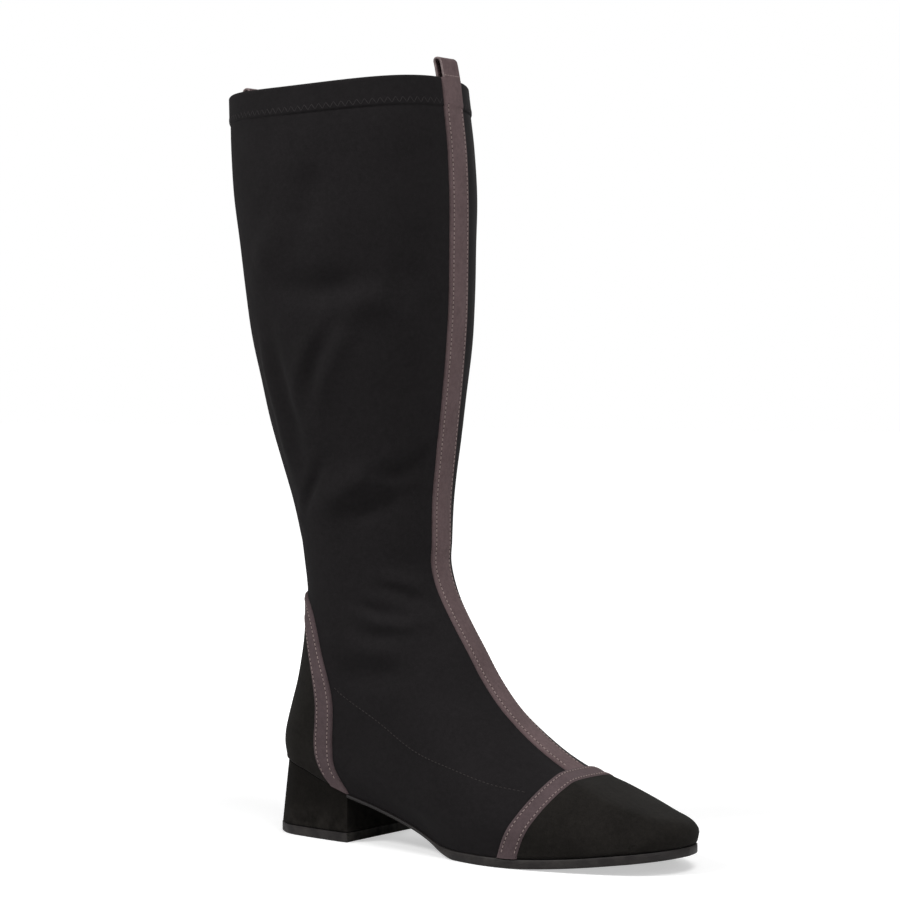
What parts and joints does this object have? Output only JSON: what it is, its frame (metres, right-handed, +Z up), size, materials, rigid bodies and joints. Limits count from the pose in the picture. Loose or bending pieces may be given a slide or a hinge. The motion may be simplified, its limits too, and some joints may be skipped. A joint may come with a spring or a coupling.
{
  "type": "knee-high boot",
  "caption": "Right-foot knee-high boot with a low block heel, suede toe cap, contrast strips and a zip on the inner side.",
  "frame": {"origin": "on the floor, under the middle of the boot's box", "axes": "+Z up, +X towards the toe, +Y towards the inner (medial) side"},
  "size_m": [0.2836, 0.119, 0.4122],
  "materials": {
    "black_fabric": "fine stretch twill, matt",
    "black_suede": "suede nap",
    "grey_suede": "suede nap, stitched edges",
    "black_rubber": "satin",
    "lining": "matt textile",
    "zip_fabric": "woven tape",
    "zip_coil": "nylon coil",
    "black_metal": "semi-gloss"
  },
  "bodies": {
    "boot": {"upper": "black_fabric", "toe_cap": "black_suede", "toe_band": "grey_suede", "heel_counter": "black_suede", "heel_band": "grey_suede", "front_strip": "grey_suede", "back_pull_loop": "grey_suede", "outsole": "black_rubber", "heel_block": "black_suede", "heel_top_piece": "black_rubber", "insole": "lining", "zip_tape": "zip_fabric", "zip_teeth": "zip_coil", "zip_slider": "black_metal"},
    "pull_tab": {"zip_pull_tab": "black_metal"}
  },
  "joints": [
    {"name": "pull_tab_hinge", "type": "hinge", "parent": "boot", "child": "pull_tab", "pos_m": [-0.04267, 0.05655, 0.38459], "axis": [0.9256, -0.3683, 0.0873], "range_deg": [0, 165]}
  ]
}
